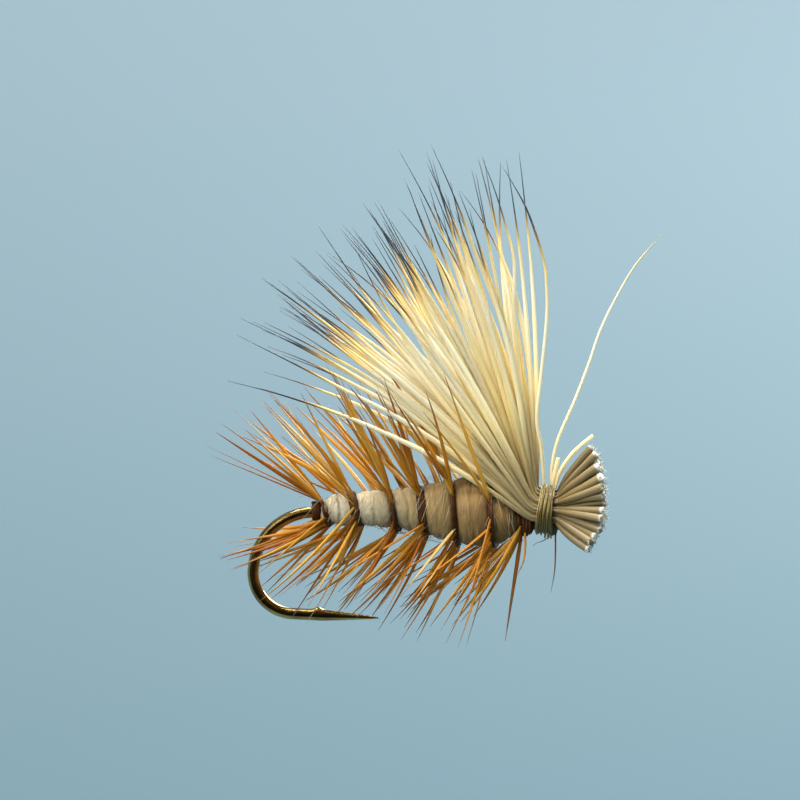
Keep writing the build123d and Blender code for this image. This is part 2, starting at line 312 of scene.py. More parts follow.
def evenly(line, count):
    steps = np.r_[0, np.cumsum(np.linalg.norm(np.diff(line, axis=0), axis=1))]
    at = np.linspace(0, steps[-1], count)
    return np.stack([np.interp(at, steps, line[:, axis]) for axis in range(3)], axis=1)


def smoothLine(knots, count):    # a rounded curve through the knots, evenly divided
    knots = np.asarray(knots, float)
    ends = np.vstack([2 * knots[0] - knots[1], knots, 2 * knots[-1] - knots[-2]])
    t = np.linspace(0, 1, 14, endpoint=False)[:, None]
    runs = []
    for a, b, c, d in zip(ends, ends[1:], ends[2:], ends[3:]):
        runs.append(0.5 * (2 * b + (c - a) * t + (2 * a - 5 * b + 4 * c - d) * t**2
                           + (3 * b - a - 3 * c + d) * t**3))
    return evenly(np.vstack(runs + [knots[-1:]]), count)


def strand(line, radius, along=None, tint=None, flat=1.0, face=(0.3, 0.2, 0.9), twist=0.0):
    line = np.asarray(line, float)
    count = len(line)
    radius = np.broadcast_to(np.asarray(radius, float), (count,))
    along = np.linspace(0, 1, count) if along is None else along
    tint = dice.random() if tint is None else tint
    return dict(line=line, radius=radius, along=along, tint=tint, flat=flat, face=face, twist=twist)


def tubes(name, strands, sides, material, node=None, shape=None):
    points, faces = [], []
    values = {"along": [], "tint": [], "grain": []}
    turn = np.arange(sides) / sides * 2 * math.pi
    base = 0
    for s in strands:
        line, count = s["line"], len(s["line"])
        tangent = np.gradient(line, axis=0)
        tangent /= np.linalg.norm(tangent, axis=1)[:, None]
        side = np.cross(tangent[0], s["face"])
        across = np.empty((count, 3))
        for k in range(count):   # carried along, so a tube turns only by the twist asked for
            side = side - tangent[k] * side.dot(tangent[k])
            side /= np.linalg.norm(side)
            across[k] = side
        up = np.cross(tangent, across)
        length = np.r_[0, np.cumsum(np.linalg.norm(np.diff(line, axis=0), axis=1))]
        angle = turn[None] + (s["twist"] * length)[:, None]
        cosine, sine = np.cos(angle)[..., None], np.sin(angle)[..., None]
        out = cosine * across[:, None] + s["flat"] * sine * up[:, None]
        ring = line[:, None] + s["radius"][:, None, None] * out
        if shape:
            ring = shape(ring, out)
        points.append(np.vstack([ring.reshape(-1, 3), line[:1], line[-1:]]))
        total = count * sides
        for k in range(count - 1):
            for j in range(sides):
                n = (j + 1) % sides
                faces.append((base + k * sides + j, base + k * sides + n,
                              base + (k + 1) * sides + n, base + (k + 1) * sides + j))
        for j in range(sides):
            n = (j + 1) % sides
            faces.append((base + total, base + n, base + j))
            faces.append((base + total + 1, base + total - sides + j, base + total - sides + n))
        grain = np.stack([np.cos(turn)[None] + 0 * angle, np.sin(turn)[None] + 0 * angle,
                          length[:, None] + 0 * angle], axis=-1).reshape(-1, 3)
        grain = np.vstack([grain, (0, 0, 0), (0, 0, length[-1])])
        grain = grain + (s["tint"] * 37.0, s["tint"] * 11.0, 0)     # no two fibres share a pattern
        values["along"].append(np.r_[np.repeat(s["along"], sides), s["along"][0], s["along"][-1]])
        values["tint"].append(np.full(total + 2, s["tint"]))
        values["grain"].append(grain)
        base += total + 2
    values = {key: np.concatenate(data) for key, data in values.items()}
    makePiece(name, np.vstack(points), faces, material, values, node)


def between(table, place):       # straight lines between (place, value) pairs
    return np.interp(place, [row[0] for row in table], [row[1] for row in table])


# width is what the camera sees at the fly; centre is the middle of that, along the hook and up
camera = dict(lens=200.0, width=32.0, centre=(-7.35, 4.65), roll=2.9)


def placeCamera():
    data = bpy.data.cameras.new("camera")
    data.lens, data.sensor_width = camera["lens"], 36.0
    distance = camera["width"] * camera["lens"] / data.sensor_width
    data.clip_start, data.clip_end = 0.005, 5.0
    made = bpy.data.objects.new("camera", data)
    bpy.context.scene.collection.objects.link(made)
    x, z = camera["centre"]
    level = Matrix.Rotation(math.radians(90), 4, "X")
    aim = level @ Matrix.Rotation(math.radians(camera["roll"]), 4, "Z")
    made.matrix_world = Matrix.Translation(Vector((x, -distance, z)) * mm) @ aim
    bpy.context.scene.camera = made


def softLight(name, place, size, power, colour=(1, 1, 1), aim=(-5.0, 0.0, 3.0)):
    data = bpy.data.lights.new(name, "AREA")
    data.shape, data.size, data.energy, data.color = "DISK", size, power, colour
    made = bpy.data.objects.new(name, data)
    made.location = place
    made.rotation_euler = (Vector(aim) * mm - Vector(place)).to_track_quat("-Z", "Y").to_euler()
    made.visible_camera = False
    bpy.context.scene.collection.objects.link(made)


def studio():
    softLight("topSoftbox", (-0.06, -0.06, 0.50), 0.34, 7.6, (1.0, 0.985, 0.965))
    softLight("rearGlow", (0.16, 0.34, 0.24), 0.25, 2.6, (1.0, 0.97, 0.93))
    softLight("frontFill", (-0.28, -0.34, 0.24), 0.25, 2.4, (1.0, 0.965, 0.90))
    world = bpy.data.worlds.new("studio")
    world.use_nodes = True
    sky = world.node_tree.nodes["Background"].inputs
    sky["Color"].default_value = (0.86, 0.89, 0.91, 1)
    sky["Strength"].default_value = 0.42
    bpy.context.scene.world = world
    bpy.context.scene.view_settings.view_transform = "Standard"


def reflectionFlag():    # a dark card in front of the fly that only reflections can see
    flag = dict(half=0.13, distance=0.034)
    f = Finish("darkCard")
    card = f.surface(f.node("ShaderNodeBsdfDiffuse", {}, {"Color": (0.01, 0.01, 0.01, 1)}, out="BSDF"))
    half, y = flag["half"], -flag["distance"]
    mesh = bpy.data.meshes.new("darkCard")
    corners = [(-half, y, -half), (half, y, -half), (half, y, half), (-half, y, half)]
    mesh.from_pydata(corners, [], [(0, 1, 2, 3)])
    mesh.materials.append(card)
    made = bpy.data.objects.new("darkCard", mesh)
    bpy.context.scene.collection.objects.link(made)
    made.visible_camera = made.visible_diffuse = made.visible_shadow = False
    made.visible_transmission = False


def sweepStage(floorHeight):     # a round pale floor that curves up into its own backdrop
    bowl = dict(flat=0.20, curve=0.34, wall=0.20, sides=96, steps=16)
    profile = [(0.0, 0.0), (bowl["flat"], 0.0)]
    steps = bowl["steps"]
    for step in range(1, steps + 1):
        angle = math.pi / 2 * step / steps
        across, up = bowl["curve"] * math.sin(angle), bowl["curve"] * (1 - math.cos(angle))
        profile.append((bowl["flat"] + across, up))
    profile.append((bowl["flat"] + bowl["curve"], bowl["curve"] + bowl["wall"]))
    points = [(0, 0, floorHeight * mm)]
    faces = []
    sides = bowl["sides"]
    for radius, height in profile[1:]:
        for k in range(sides):
            angle = 2 * math.pi * k / sides
            points.append((radius * math.cos(angle), radius * math.sin(angle), height + floorHeight * mm))
    for k in range(sides):
        faces.append((0, 1 + k, 1 + (k + 1) % sides))
        for ring in range(len(profile) - 2):
            a, b = 1 + ring * sides + k, 1 + ring * sides + (k + 1) % sides
            faces.append((a, a + sides, b + sides, b))
    mesh = bpy.data.meshes.new("stage")
    mesh.from_pydata(points, [], faces)
    mesh.polygons.foreach_set("use_smooth", [True] * len(mesh.polygons))
    mesh.materials.append(paleBackdrop())
    made = bpy.data.objects.new("stage", mesh)
    bpy.context.scene.collection.objects.link(made)


placeCamera()
studio()
print("camera and light are set")


# wire sizes are radii; the bend is two arcs, and the spear runs parallel to the shank
hook = dict(wire=0.23, eyeWire=0.185, eyeRing=0.56, upperBend=2.45, lowerBend=1.65, shankEnd=-10.42,
            point=-7.71, pointRadius=0.012, taperStart=-10.0, barb=-10.2, barbHeight=0.085, barbLength=0.16)


def hookWire():
    tip, bottom = hook["point"], -hook["upperBend"] - hook["lowerBend"]
    knots = [(tip, 0, bottom), (tip - 1.2, 0, bottom), (hook["taperStart"], 0, bottom)]
    centre = hook["shankEnd"] - hook["upperBend"] + hook["lowerBend"]
    for angle in np.radians(np.arange(0, 91, 9)):        # lower bend, from the spear to the back
        knots.append((centre - hook["lowerBend"] * math.sin(angle), 0,
                      -hook["upperBend"] - hook["lowerBend"] * math.cos(angle)))
    for angle in np.radians(np.arange(9, 91, 9)):        # upper bend, from the back to the shank
        knots.append((hook["shankEnd"] - hook["upperBend"] * math.cos(angle), 0,
                      -hook["upperBend"] + hook["upperBend"] * math.sin(angle)))
    knots += [(x, 0, 0) for x in np.arange(-9.5, -1.3, 1.0)]
    knots += [(-1.0, 0, 0), (-0.78, -0.03, 0)]
    for angle in np.radians(np.arange(203, 535, 14)):    # the eye, closed back against the shank
        knots.append((hook["eyeRing"] * math.cos(angle), hook["eyeRing"] * math.sin(angle), 0))
    line = smoothLine(knots, 520)
    length = np.r_[0, np.cumsum(np.linalg.norm(np.diff(line, axis=0), axis=1))]
    taper = np.clip(length / (tip - hook["taperStart"]), 0, 1)
    radius = hook["pointRadius"] + (hook["wire"] - hook["pointRadius"]) * taper**0.8
    toEye = np.clip((length[-1] - length) / 4.2, 0, 1)
    radius = np.minimum(radius, hook["eyeWire"] + (hook["wire"] - hook["eyeWire"]) * toEye)
    radius[-6:] *= np.linspace(1, 0.55, 6)

    def pinchedBarb(ring, out):
        lift = np.exp(-((ring[..., 0] - hook["barb"]) / hook["barbLength"]) ** 2)
        lift *= ring[..., 2] < bottom + 0.6      # only on the spear, not on the shank above it
        lift *= np.clip(out[..., 2], 0, 1) ** 2
        ring[..., 2] += hook["barbHeight"] * lift
        return ring

    wire = [strand(line, radius, tint=0.5)]
    tubes("hookWire", wire, 28, bronzeWire(), "hook", pinchedBarb)


hookWire()
print("hook is bent")


# silhouette and height are (place along the hook, radius or centre) pairs
body = dict(
    silhouette=[(-10.36, 0.24), (-10.22, 0.42), (-9.76, 0.585), (-8.17, 0.69), (-6.77, 0.84), (-5.79, 1.06),
                (-4.60, 1.34), (-3.75, 1.33), (-3.10, 1.02), (-2.62, 0.62), (-2.40, 0.36)],
    height=[(-10.30, 0.05), (-9.76, 0.15), (-8.17, 0.27), (-6.77, 0.32), (-5.79, 0.34), (-4.60, 0.34),
            (-3.75, 0.29), (-3.10, 0.12), (-2.50, 0.02)],
    puff=0.18, groove=0.05, grooveWidth=0.10, crease=0.085, creasePlace=0.52, creaseWidth=0.07,
    lump=0.035, fibre=0.012, rows=420, around=120)
quill = dict(tops=[-10.28, -9.15, -7.63, -6.50, -5.20, -3.72, -2.40],
             bottoms=[-9.92, -8.75, -7.22, -6.02, -4.78, -3.36, -2.20], width=0.185, flat=0.4,
             bareTurns=(6.5, 9.4), bareFront=-1.86, bareRadius=0.39)
quillStops = sorted([(-1.0, -10.50), (-0.5, -10.42)] + [(k, x) for k, x in enumerate(quill["tops"])]
                    + [(k + 0.5, x) for k, x in enumerate(quill["bottoms"])])


def bodyRadius(x):
    x = np.asarray(x, float)
    return sum(between(body["silhouette"], x + step) for step in (-0.12, 0, 0.12)) / 3


def bodyHeight(x):
    return between(body["height"], x)


def quillPoint(turn, lift=0.0):  # turns are counted from the top; they go down the near side first
    turn = np.asarray(turn, float)
    x = between(quillStops, turn)
    out = np.maximum(bodyRadius(x) - 0.015, 0.33) + lift
    angle = 2 * math.pi * turn
    return np.stack([x, -out * np.sin(angle), bodyHeight(x) + out * np.cos(angle)], -1)


# how far x is from one pass of the quill to the next, at this share of a turn
def betweenTurns(x, share):
    passes = np.array([between(quillStops, k + share) for k in range(-1, 7)])
    passes[0] = passes[1] - 1.1
    passes = np.r_[passes, passes[-1] + 0.9]
    k = int(np.clip(np.searchsorted(passes, x) - 1, 0, len(passes) - 2))
    return (x - passes[k]) / (passes[k + 1] - passes[k])


def dubbedBody():
    rows, around = body["rows"], body["around"]
    xs = np.linspace(body["silhouette"][0][0], body["silhouette"][-1][0], rows)
    points, along, hollow, grain = [], [], [], []
    span = xs[-1] - xs[0]
    for x in xs:
        radius, height = float(bodyRadius(x)), float(bodyHeight(x))
        for j in range(around):
            share = j / around
            angle = 2 * math.pi * share
            f = betweenTurns(x, share) % 1.0
            sine, cosine = math.sin(angle), math.cos(angle)
            lump = noise.fractal(Vector((x * 1.3, sine * 1.2, cosine * 1.2)), 1.0, 2.0, 3)
            second = body["creasePlace"] + 0.08 * lump       # the crease between two laps of fur
            crease = math.exp(-((f - second) / body["creaseWidth"]) ** 2)
            crease *= max(0.0, 0.75 + 0.7 * noise.noise(Vector((x * 1.1, share * 4.0, 5.0))))
            swell = 1 - abs(2 * f - 1) ** 1.8
            deep = math.exp(-(min(f, 1 - f) / body["grooveWidth"]) ** 2)     # sunk beside the quill
            ease = min(1.0, radius / 0.55)
            fibres = noise.fractal(Vector((x * 8.0, sine * 1.6, cosine * 1.6)), 1.0, 2.0, 3)
            r = radius + ease * (body["puff"] * (swell - 0.72) - body["groove"] * deep
                                 - body["crease"] * crease + body["lump"] * lump + body["fibre"] * fibres)
            points.append((x, -r * sine, height + r * cosine))
            along.append((x - xs[0]) / span)
            # painted shade mask: low in the grooves and creases, high on the tops of the puffs
            hollow.append(max(0.0, min(1.0, 0.25 + swell - deep * 0.9 - crease * 0.75)))
            grain.append((cosine * 1.4, sine * 1.4, x))
    faces = []
    for k in range(rows - 1):
        for j in range(around):
            n = (j + 1) % around
            faces.append((k * around + j, (k + 1) * around + j, (k + 1) * around + n, k * around + n))
    for end, order in ((0, 1), (rows - 1, -1)):
        points.append((xs[end], 0, float(bodyHeight(xs[end]))))
        along.append(float(end > 0))
        hollow.append(0.3)
        grain.append((0, 0, xs[end]))
        rim = [end * around + j for j in range(around)]
        for a, b in zip(rim, rim[1:] + rim[:1]):
            faces.append((len(points) - 1, a, b)[::order])
    values = {"along": along, "hollow": hollow, "grain": grain, "tint": np.full(len(points), 0.5)}
    makePiece("furBody", points, faces, furDubbing(), values, "dubbed_body")


def bodyFuzz():
    fuzz = dict(count=320, thickness=0.007, length=(0.5, 1.9), lift=0.20,
                loops=9, loopThickness=0.012, loopWidth=(0.3, 0.9), loopDrop=(0.12, 0.34))
    strands = []
    for _ in range(fuzz["count"]):
        x, share = dice.uniform(-10.2, -2.7), dice.random()
        length = dice.uniform(*fuzz["length"])
        slant = dice.normal(0.0, 0.5)
        lift = dice.random() * fuzz["lift"]
        knots = []
        for t in np.linspace(0, 1, 5):
            away = lift * math.sin(t * math.pi * dice.uniform(0.6, 1.0))
            r = float(bodyRadius(x)) - 0.03 + away + 0.02 * dice.normal()
            angle = 2 * math.pi * share + t * length / r
            height = float(bodyHeight(x)) + r * math.cos(angle)
            knots.append((x + slant * t * length * 0.6, -r * math.sin(angle), height))
        strands.append(strand(smoothLine(knots, 12), fuzz["thickness"]))
    for _ in range(fuzz["loops"]):               # loops of fur that hang below the front of the body
        x, y = dice.uniform(-7.5, -2.8), dice.uniform(-0.5, 0.3)
        drop = dice.uniform(*fuzz["loopDrop"])
        width = dice.uniform(*fuzz["loopWidth"])
        floor = float(bodyHeight(x)) - float(bodyRadius(x)) + 0.05
        knots = [(x - width, y, floor), (x - width * 0.5, y - 0.05, floor - drop * 0.8),
                 (x, y - 0.08, floor - drop), (x + width * 0.6, y - 0.04, floor - drop * 0.7),
                 (x + width, y, floor)]
        strands.append(strand(smoothLine(knots, 16), fuzz["loopThickness"], tint=dice.uniform(0.7, 1.0)))
    tubes("furFuzz", strands, 4, looseFur())


def quillStem():
    first, last = quill["bareTurns"]     # bare quill wound tight in front of the body
    line = quillPoint(np.linspace(-1.0, first, 640))
    front = [line[-1] + (0.02, 0, 0)]
    turns = np.linspace(first, last, 150)
    x = between([(first, quill["bottoms"][-1]), (last, quill["bareFront"])], turns)
    y = -quill["bareRadius"] * np.sin(2 * math.pi * turns)
    z = quill["bareRadius"] * np.cos(2 * math.pi * turns)
    wraps = np.stack([x, y, z], -1)
    count = 820
    line = evenly(np.vstack([line, front, wraps[6:]]), count)
    radius = quill["width"] * (1 + 0.08 * np.sin(np.arange(count) * 0.9))
    made = strand(line, radius, tint=0.4, flat=quill["flat"], face=(0, 0, 1))
    tubes("quillStem", [made], 12, hackleQuill(), "hackle_stem")


thread = dict(width=0.046, flat=0.7, tagEnds=(0.026, 0.009), collarTilt=0.16)


def wrappedThread(start, end, pitch, radiusAt, centre=0.0, wander=0.0, phase=0.0, steps=40):
    turns = abs(end - start) / pitch
    t = np.linspace(0, turns, int(turns * steps) + 1)
    x = start + (end - start) * t / turns + wander * np.sin(2 * math.pi * t + phase)
    r = radiusAt(x, t)
    line = np.stack([x, -r * np.sin(2 * math.pi * t), centre + r * np.cos(2 * math.pi * t)], -1)
    return strand(line, thread["width"], flat=thread["flat"], face=(1, 0, 0), twist=5.0)


# the rear wraps lean forward over the top, where the hair stands up against them
def tilted(wraps, lean):
    line = wraps["line"]
    share = np.clip((collarFront - line[:, 0]) / (collarFront - collarRear), 0, 1)
    line[:, 0] += lean * share * np.clip((line[:, 2] - collarHeight) / collarRadius, -0.2, 1)
    return wraps


def threadPieces():
    finish = tyingThread()
    base = wrappedThread(-10.36, -1.02, 0.088, lambda x, t: 0.262 + 0 * x, steps=18)
    tubes("threadBase", [base], 6, finish, "thread_base")
    inner = collarRadius - 0.055

    def snug(x, t):      # thread lies a little flatter over the sides of the bundle
        waist = 0.035 * np.cos((x - (collarRear + collarFront) / 2) / 0.34 * 1.4)
        return inner - 0.03 + waist + 0.012 * np.sin(2 * math.pi * t * 3 + 1)

    layers = [
        wrappedThread(collarRear + 0.03, collarFront - 0.03, 0.076, snug, collarHeight),
        wrappedThread(collarRear + 0.12, collarFront - 0.06, 0.13, lambda x, t: snug(x, t) + 0.045,
                      collarHeight, wander=0.05, phase=0.7),
        wrappedThread(collarFront - 0.10, collarRear + 0.16, 0.17, lambda x, t: snug(x, t) + 0.075,
                      collarHeight, wander=0.07, phase=2.4)]
    layers = [tilted(layer, thread["collarTilt"]) for layer in layers]
    tubes("threadCollar", layers, 10, finish, "thread_collar")
    knot = [
        wrappedThread(-1.02, -0.80, 0.07, lambda x, t: 0.32 - 0.06 * np.clip((x + 0.85) / 0.11, 0, 1)),
        wrappedThread(-0.80, -1.04, 0.09, lambda x, t: 0.40 - 0.05 * np.clip((x + 0.9) / 0.1, 0, 1),
                      -0.02, 0.03, 1.0),
        wrappedThread(-1.30, -0.95, 0.12, lambda x, t: 0.42 + 0.05 * np.sin(t), -0.10, 0.05, 2.0)]
    tubes("whipKnot", knot, 10, finish, "whip_finish")
    count = 30
    line = smoothLine([
        (-1.05, -0.38, -0.42), (-1.2, -0.42, -0.56), (-1.42, -0.45, -0.70), (-1.6, -0.45, -0.76),
        (-1.78, -0.48, -0.90)], count)
    tag = strand(line, np.linspace(*thread["tagEnds"], count))
    tubes("threadTag", [tag], 8, finish, "thread_tag")


dubbedBody()
bodyFuzz()
quillStem()
threadPieces()
print("body, quill and thread are wound")


# lengths are from quill to tip; coverHeight is how high a barb may stand under the wing, by turn
# the barbs over the top get a paler tint and those underneath a darker one: painted light and shade
hackle = dict(perTurn=41, lastTurn=23, facingFrom=0.93, facingShare=0.90, thickness=0.100, tip=0.006,
              flat=0.5, droop=9, sweep=1.5, topLength=(4.3, 5.6), lowLength=(3.4, 4.8), topPaintedLight=0.60,
              lowPaintedShade=0.46, shadeSpread=0.26, asideSpread=0.13, bowSpread=0.05,
              coverTurns=(3, 4, 6), coverHeight=(1.0, 0.72, 0.42))
# degrees towards the bend over the top, at the sides and underneath, one row a turn
hackleLean = [
    (54, 45, 60), (35, 33, 45), (29, 28, 40), (27, 25, 37), (27, 25, 35), (25, 26, 33), (24, 30, 28)]
leanSpread = dict(under=15.0, beside=12.0, over=9.0, most=1.5)


def barbStrand(turn, lean, length, shade):
    root = quillPoint(turn, quill["width"] * 0.4)
    axis = np.array([root[0], 0, float(bodyHeight(root[0]))])
    out = (root - axis) / np.linalg.norm(root - axis)
    out[2] += hackle["sweep"] * abs(out[1]) * (1 if out[2] > dice.normal(0, 0.1) else -1)
    out /= np.linalg.norm(out)           # barbs on the sides are brushed up or down
    around = np.cross((1, 0, 0), out)
    aside = around * dice.normal(0, hackle["asideSpread"])
    droop = hackle["droop"] * dice.uniform(-0.2, 1.8)
    bow = around * dice.normal(0, hackle["bowSpread"])
    knots = [root]
    parts = 5
    for k in range(parts):
        t = (k + 0.5) / parts
        angle = math.radians(lean + droop * (t - 0.4))
        step = out * math.cos(angle) + aside + bow * (t - 0.5) * 2 - np.array([math.sin(angle), 0, 0])
        knots.append(knots[-1] + step / np.linalg.norm(step) * length / parts)
    count = 18
    line = smoothLine(knots, count)
    t = np.linspace(0, 1, count)
    swell = (0.72 + 0.5 * np.minimum(t / 0.22, 1)) * (1 - t**1.7) / 1.2
    radius = hackle["tip"] + (hackle["thickness"] - hackle["tip"]) * swell * dice.uniform(0.65, 1.25)
    tint = float(np.clip(dice.normal(shade, hackle["shadeSpread"]), 0, 1))
    face, twist = dice.normal(size=3), dice.normal(0, 0.2)
    return strand(line, radius, tint=tint, flat=hackle["flat"], face=face, twist=twist)


def hackleTurns():
    finish = hackleBarb()
    spreads = (leanSpread["under"], leanSpread["beside"], leanSpread["over"])
    last = len(quill["tops"]) - 1
    for turn in range(last + 1):
        count, span = (hackle["lastTurn"], 0.5) if turn == last else (hackle["perTurn"], 1.0)
        over, beside, under = hackleLean[turn]
        strands = []
        for k in range(count):
            place = turn + span * (k + dice.random()) / count
            high = math.cos(2 * math.pi * place)
            lean = beside + (over - beside) * max(0, high) + (under - beside) * max(0, -high)
            own = np.clip(dice.normal(), -leanSpread["most"], leanSpread["most"])
            lean += own * np.interp(high, (-1, 0, 1), spreads)
            reach = dice.uniform(*(hackle["topLength"] if high > 0 else hackle["lowLength"]))
            # paler tint over the top, darker underneath: painted light and shade
            made = barbStrand(place, lean, reach, hackle["topPaintedLight"] if high > 0 else hackle["lowPaintedShade"])
            facing = math.sin(2 * math.pi * place) > hackle["facingFrom"]    # these would hide the body
            bare = facing and dice.random() < hackle["facingShare"]
            underWing = high > np.interp(turn, hackle["coverTurns"], hackle["coverHeight"])
            if not (underWing or bare):
                strands.append(made)
        node = f"hackle_barbs_turn_{turn + 1}"
        tubes(f"hackleTurn{turn + 1}", strands, 6, finish, node)
    strays = [
        ([(-2.10, -0.3, -0.40), (-2.06, -0.4, -0.9), (-2.10, -0.45, -1.5), (-2.32, -0.45, -2.1)],
         0.075, 0.5),
        ([(-0.88, -0.2, -0.36), (-0.84, -0.25, -1.1), (-0.84, -0.25, -1.9), (-0.95, -0.25, -2.75)],
         0.045, 0.05)]
    strands = []
    count = 22
    for knots, thickness, tint in strays:
        radius = thickness * (1 - np.linspace(0, 1, count) ** 2.2) + hackle["tip"]
        strands.append(strand(smoothLine(knots, count), radius, tint=tint, flat=0.6))
    tubes("strayBarbs", strands, 8, finish, "stray_barbs")


hackleTurns()
print("hackle is set")


hair = dict(pitch=0.125, tied=0.062, thickness=0.118, tip=0.009, length=13.4, spread=1.0,
            lowest=0.12, shankGap=0.47, lowAngle=34.5, highAngle=90.0, angleBias=1.2, sideSlope=0.26,
            bendStart=-1.60, bendForward=0.14, bendHeight=1.60, bendRatio=0.55, sideBand=0.36,
            bottomTop=0.72, middleTop=1.05, leastFall=6.0, lowFall=50.0, highFall=34.0, locks=13,
            lockPull=0.68, curl=0.50, riseSpread=2.8, fallSpread=6.0, sideSpread=0.03)
butt = dict(thickness=0.172, length=2.02, trimTop=0.20, trimLow=0.74, trimSide=0.10, slope=1.62,
            sideSlope=0.95, levelMiddle=0.43, levelSide=0.61, push=0.28, splinters=10)
hairThickness = [(0.0, 0.60), (0.05, 0.78), (0.14, 0.96), (0.3, 1.0), (0.5, 0.88), (0.66, 0.64),
                 (0.76, 0.38), (0.84, 0.20), (0.92, 0.11), (1.0, 0.0)]


def bundlePlaces():
    inside = collarRadius - 0.19
    rowHeight = hair["pitch"] * math.cos(math.pi / 6)
    places = []
    for row in range(-8, 9):
        for column in range(-8, 9):
            y = (column + 0.5 * (row % 2)) * hair["pitch"] + dice.normal(0, 0.012)
            z = row * rowHeight + collarHeight + dice.normal(0, 0.012)
            tied = math.hypot(y, z - collarHeight) < inside and z > hair["lowest"]
            if tied and math.hypot(y, z) > hair["shankGap"]:
                places.append((y, z))
    return places


# an arc up about a line over the collar, then a long slight curve
def wingLine(y, z, rise, side, fall, length):
    bend = 0.12 + (hair["bendHeight"] - z) * hair["bendRatio"]
    start = hair["bendStart"] + hair["bendForward"] * (z - hair["lowest"])
    knots = []
    for share in (0.0, 0.35, 0.7, 1.0):
        angle = math.radians(rise * share)
        back, up = bend * math.sin(angle), bend * (1 - math.cos(angle))
        knots.append(np.array([start - back, y + side * 0.5 * math.hypot(back, up), z + up]))
    steps = 9
    for k in range(steps):
        t = (k + 0.5) / steps
        angle = math.radians(rise - fall * t)
        step = np.array([-math.cos(angle), side, math.sin(angle)])
        knots.append(knots[-1] + step * length / steps)
    return np.array(knots)


def hairFan(level):      # how a hair at this level of the bundle rises from the collar and falls back
    rise = hair["lowAngle"] + (hair["highAngle"] - hair["lowAngle"]) * level ** hair["angleBias"]
    fall = (hair["leastFall"] + hair["lowFall"] * max(0.0, 0.5 - level) ** 1.5
            + hair["highFall"] * max(0.0, level - 0.7))
    return rise, fall


def makeLocks():
    locks = []
    for k in range(hair["locks"]):
        level = (k + 0.5 + dice.normal(0, 0.25)) / hair["locks"]
        locks.append((float(np.clip(level, 0, 1)), ((k * 0.618) % 1.0 - 0.5) * 1.7))
    return locks


def hairStrand(y, z, locks):
    top = collarHeight + collarRadius - 0.15
    level = (z - hair["lowest"]) / (top - hair["lowest"])
    across = y / collarRadius
    rise, fall = hairFan(level)
    rise += dice.normal(0, hair["riseSpread"])
    fall += dice.normal(0, hair["fallSpread"])
    length = hair["length"] - abs(dice.normal(0, hair["spread"])) + dice.uniform(-0.3, 0.5)
    side = hair["sideSlope"] * across + dice.normal(0, hair["sideSpread"])
    own = wingLine(y, z, rise, side, fall, length)
    near = min(locks, key=lambda lock: abs(lock[0] - level) * 1.4 + abs(lock[1] - across) * 0.5)
    lockRise, lockFall = hairFan(near[0])
    lockHeight = hair["lowest"] + (top - hair["lowest"]) * near[0]
    shared = wingLine(near[1] * 0.5, lockHeight, lockRise, hair["sideSlope"] * near[1], lockFall, length)
    t = np.linspace(0, 1, len(own))[:, None]
    pull = hair["lockPull"] * dice.uniform(0.3, 1.35) * np.clip(t / 0.75, 0, 1) ** 1.4
    wing = own * (1 - pull) + shared * pull
    wave = dice.normal(0, 0.09, 3) * np.array([1, 1, 0.4])
    wing = wing + wave * np.sin(t * dice.uniform(4, 9) + dice.uniform(0, 6)) * t * 1.6
    wing = wing + dice.normal(0, hair["curl"], 3) * np.array([1, 0.6, 1]) * t**4
    wing = smoothLine(wing, 44)
    front = buttKnots(y, z)
    both = smoothLine(np.vstack([front[::-1], wing[:1]]), 16)
    line = np.vstack([both[:-1], wing])
    buttAlong, wingAlong = np.linspace(-1, 0, len(both))[:-1], np.linspace(0, 1, len(wing))
    along = np.r_[buttAlong, wingAlong]
    heavy = dice.uniform(0.82, 1.14)
    swell = between(hairThickness, wingAlong)
    wingRadius = hair["tip"] + (hair["thickness"] * heavy - hair["tip"]) * swell
    waist = [(-1, butt["thickness"]), (-0.5, butt["thickness"] * 0.92), (-0.2, 0.085), (0, hair["tied"])]
    buttRadius = between(waist, buttAlong) * dice.uniform(0.9, 1.1)
    radius = np.r_[buttRadius, np.maximum(wingRadius, 0.008)]
    line, along, radius = cutEnd(line, along, radius)
    tint = float(np.clip(dice.normal(0.6, 0.25), 0, 1))
    return strand(line, radius, along, tint, flat=dice.uniform(0.82, 1.0), face=dice.normal(size=3))


def cutEnd(line, along, radius):     # a narrow bevel and a dished face where the hair was cut, its middle given the dark tone from beside the tie as painted shade
    ahead = (line[0] - line[1]) / np.linalg.norm(line[0] - line[1])
    face = np.array([line[0] - ahead * 0.07, line[0] + ahead * 0.010, line[0] + ahead * 0.016])
    line = np.vstack([face, line])
    bevel = radius[0] * np.array([0.35, 0.78, 0.95])
    # the dish centre's along of -0.12 picks the dark colour beside the tie: painted shade in the hollow
    return line, np.r_[-0.12, -0.97, along[0], along], np.r_[bevel, radius]


